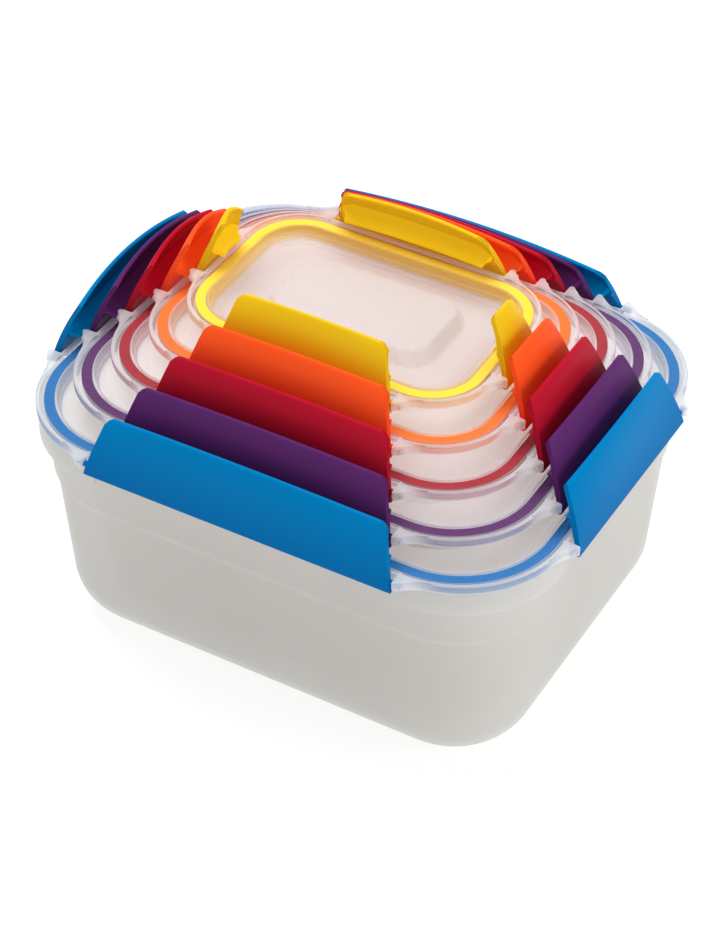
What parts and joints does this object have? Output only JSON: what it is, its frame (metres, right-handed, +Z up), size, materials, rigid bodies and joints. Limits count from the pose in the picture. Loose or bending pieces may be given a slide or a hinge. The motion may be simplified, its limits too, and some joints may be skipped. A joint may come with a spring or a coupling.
{
  "type": "clip-lid food container set",
  "caption": "Nesting rectangular food boxes with rounded corners and stacked clear lids, each lid with a coloured seal and hinged clips along its sides.",
  "frame": {"origin": "bottom centre of the largest box, which stands on the table", "axes": "+X along the boxes' long side, +Y towards the back long side, +Z up"},
  "size_m": [0.254, 0.211, 0.1769],
  "materials": {
    "frosted_box": "translucent, satin",
    "clear_lid": "clear, gloss",
    "blue_clip": "opaque, satin gloss",
    "blue_seal": "soft silicone, satin",
    "purple_clip": "opaque, satin gloss",
    "purple_seal": "soft silicone, satin",
    "red_clip": "opaque, satin gloss",
    "red_seal": "soft silicone, satin",
    "orange_clip": "opaque, satin gloss",
    "orange_seal": "soft silicone, satin",
    "yellow_clip": "opaque, satin gloss",
    "yellow_seal": "soft silicone, satin"
  },
  "bodies": {
    "blue_box": {"blue_box": "frosted_box"},
    "blue_lid": {"blue_lid": "clear_lid", "blue_seal": "blue_seal"},
    "blue_clip_front": {"blue_clip_front": "blue_clip"},
    "blue_clip_back": {"blue_clip_back": "blue_clip"},
    "blue_clip_left": {"blue_clip_left": "blue_clip"},
    "blue_clip_right": {"blue_clip_right": "blue_clip"},
    "purple_box": {"purple_box": "frosted_box"},
    "purple_lid": {"purple_lid": "clear_lid", "purple_seal": "purple_seal"},
    "purple_clip_front": {"purple_clip_front": "purple_clip"},
    "purple_clip_back": {"purple_clip_back": "purple_clip"},
    "purple_clip_left": {"purple_clip_left": "purple_clip"},
    "purple_clip_right": {"purple_clip_right": "purple_clip"},
    "red_box": {"red_box": "frosted_box"},
    "red_lid": {"red_lid": "clear_lid", "red_seal": "red_seal"},
    "red_clip_front": {"red_clip_front": "red_clip"},
    "red_clip_back": {"red_clip_back": "red_clip"},
    "red_clip_left": {"red_clip_left": "red_clip"},
    "red_clip_right": {"red_clip_right": "red_clip"},
    "orange_box": {"orange_box": "frosted_box"},
    "orange_lid": {"orange_lid": "clear_lid", "orange_seal": "orange_seal"},
    "orange_clip_front": {"orange_clip_front": "orange_clip"},
    "orange_clip_back": {"orange_clip_back": "orange_clip"},
    "orange_clip_left": {"orange_clip_left": "orange_clip"},
    "orange_clip_right": {"orange_clip_right": "orange_clip"},
    "yellow_box": {"yellow_box": "frosted_box"},
    "yellow_lid": {"yellow_lid": "clear_lid", "yellow_seal": "yellow_seal"},
    "yellow_clip_front": {"yellow_clip_front": "yellow_clip"},
    "yellow_clip_back": {"yellow_clip_back": "yellow_clip"},
    "yellow_clip_left": {"yellow_clip_left": "yellow_clip"},
    "yellow_clip_right": {"yellow_clip_right": "yellow_clip"}
  },
  "joints": [
    {"name": "blue_lid_lift", "type": "slide", "parent": "blue_box", "child": "blue_lid", "axis": [0, 0, 1], "range_m": [0, 0.4]},
    {"name": "purple_lid_lift", "type": "slide", "parent": "blue_lid", "child": "purple_lid", "axis": [0, 0, 1], "range_m": [0, 0.06]},
    {"name": "red_lid_lift", "type": "slide", "parent": "purple_lid", "child": "red_lid", "axis": [0, 0, 1], "range_m": [0, 0.06]},
    {"name": "orange_lid_lift", "type": "slide", "parent": "red_lid", "child": "orange_lid", "axis": [0, 0, 1], "range_m": [0, 0.06]},
    {"name": "yellow_lid_lift", "type": "slide", "parent": "orange_lid", "child": "yellow_lid", "axis": [0, 0, 1], "range_m": [0, 0.06]},
    {"name": "purple_box_lift", "type": "slide", "parent": "blue_box", "child": "purple_box", "axis": [0, 0, 1], "range_m": [0, 0.11]},
    {"name": "red_box_lift", "type": "slide", "parent": "purple_box", "child": "red_box", "axis": [0, 0, 1], "range_m": [0, 0.092]},
    {"name": "orange_box_lift", "type": "slide", "parent": "red_box", "child": "orange_box", "axis": [0, 0, 1], "range_m": [0, 0.076]},
    {"name": "yellow_box_lift", "type": "slide", "parent": "orange_box", "child": "yellow_box", "axis": [0, 0, 1], "range_m": [0, 0.062]},
    {"name": "blue_clip_right_turn", "type": "hinge", "parent": "blue_lid", "child": "blue_clip_right", "pos_m": [0.1242, 0, 0.1112], "axis": [0, 1, 0], "range_deg": [0, 21]},
    {"name": "blue_clip_back_turn", "type": "hinge", "parent": "blue_lid", "child": "blue_clip_back", "pos_m": [0, 0.1027, 0.1112], "axis": [-1, 0, 0], "range_deg": [0, 21]},
    {"name": "blue_clip_left_turn", "type": "hinge", "parent": "blue_lid", "child": "blue_clip_left", "pos_m": [-0.1242, 0, 0.1112], "axis": [0, -1, 0], "range_deg": [0, 21]},
    {"name": "blue_clip_front_turn", "type": "hinge", "parent": "blue_lid", "child": "blue_clip_front", "pos_m": [0, -0.1027, 0.1112], "axis": [1, 0, 0], "range_deg": [0, 21]},
    {"name": "purple_clip_right_turn", "type": "hinge", "parent": "purple_lid", "child": "purple_clip_right", "pos_m": [0.1112, 0, 0.1212], "axis": [0, 1, 0], "range_deg": [0, 21]},
    {"name": "purple_clip_back_turn", "type": "hinge", "parent": "purple_lid", "child": "purple_clip_back", "pos_m": [0, 0.0893, 0.1212], "axis": [-1, 0, 0], "range_deg": [0, 21]},
    {"name": "purple_clip_left_turn", "type": "hinge", "parent": "purple_lid", "child": "purple_clip_left", "pos_m": [-0.1112, 0, 0.1212], "axis": [0, -1, 0], "range_deg": [0, 21]},
    {"name": "purple_clip_front_turn", "type": "hinge", "parent": "purple_lid", "child": "purple_clip_front", "pos_m": [0, -0.0893, 0.1212], "axis": [1, 0, 0], "range_deg": [0, 21]},
    {"name": "red_clip_right_turn", "type": "hinge", "parent": "red_lid", "child": "red_clip_right", "pos_m": [0.0982, 0, 0.1312], "axis": [0, 1, 0], "range_deg": [0, 21]},
    {"name": "red_clip_back_turn", "type": "hinge", "parent": "red_lid", "child": "red_clip_back", "pos_m": [0, 0.0759, 0.1312], "axis": [-1, 0, 0], "range_deg": [0, 21]},
    {"name": "red_clip_left_turn", "type": "hinge", "parent": "red_lid", "child": "red_clip_left", "pos_m": [-0.0982, 0, 0.1312], "axis": [0, -1, 0], "range_deg": [0, 21]},
    {"name": "red_clip_front_turn", "type": "hinge", "parent": "red_lid", "child": "red_clip_front", "pos_m": [0, -0.0759, 0.1312], "axis": [1, 0, 0], "range_deg": [0, 21]},
    {"name": "orange_clip_right_turn", "type": "hinge", "parent": "orange_lid", "child": "orange_clip_right", "pos_m": [0.0852, 0, 0.1412], "axis": [0, 1, 0], "range_deg": [0, 21]},
    {"name": "orange_clip_back_turn", "type": "hinge", "parent": "orange_lid", "child": "orange_clip_back", "pos_m": [0, 0.0625, 0.1412], "axis": [-1, 0, 0], "range_deg": [0, 21]},
    {"name": "orange_clip_left_turn", "type": "hinge", "parent": "orange_lid", "child": "orange_clip_left", "pos_m": [-0.0852, 0, 0.1412], "axis": [0, -1, 0], "range_deg": [0, 21]},
    {"name": "orange_clip_front_turn", "type": "hinge", "parent": "orange_lid", "child": "orange_clip_front", "pos_m": [0, -0.0625, 0.1412], "axis": [1, 0, 0], "range_deg": [0, 21]},
    {"name": "yellow_clip_right_turn", "type": "hinge", "parent": "yellow_lid", "child": "yellow_clip_right", "pos_m": [0.0722, 0, 0.1512], "axis": [0, 1, 0], "range_deg": [0, 21]},
    {"name": "yellow_clip_back_turn", "type": "hinge", "parent": "yellow_lid", "child": "yellow_clip_back", "pos_m": [0, 0.0491, 0.1512], "axis": [-1, 0, 0], "range_deg": [0, 21]},
    {"name": "yellow_clip_left_turn", "type": "hinge", "parent": "yellow_lid", "child": "yellow_clip_left", "pos_m": [-0.0722, 0, 0.1512], "axis": [0, -1, 0], "range_deg": [0, 21]},
    {"name": "yellow_clip_front_turn", "type": "hinge", "parent": "yellow_lid", "child": "yellow_clip_front", "pos_m": [0, -0.0491, 0.1512], "axis": [1, 0, 0], "range_deg": [0, 21]}
  ],
  "couplings": [
    {"joint": "purple_box_lift", "follows": "blue_lid_lift", "ratio": 0.275},
    {"joint": "red_box_lift", "follows": "blue_lid_lift", "ratio": 0.23},
    {"joint": "orange_box_lift", "follows": "blue_lid_lift", "ratio": 0.19},
    {"joint": "yellow_box_lift", "follows": "blue_lid_lift", "ratio": 0.155}
  ]
}
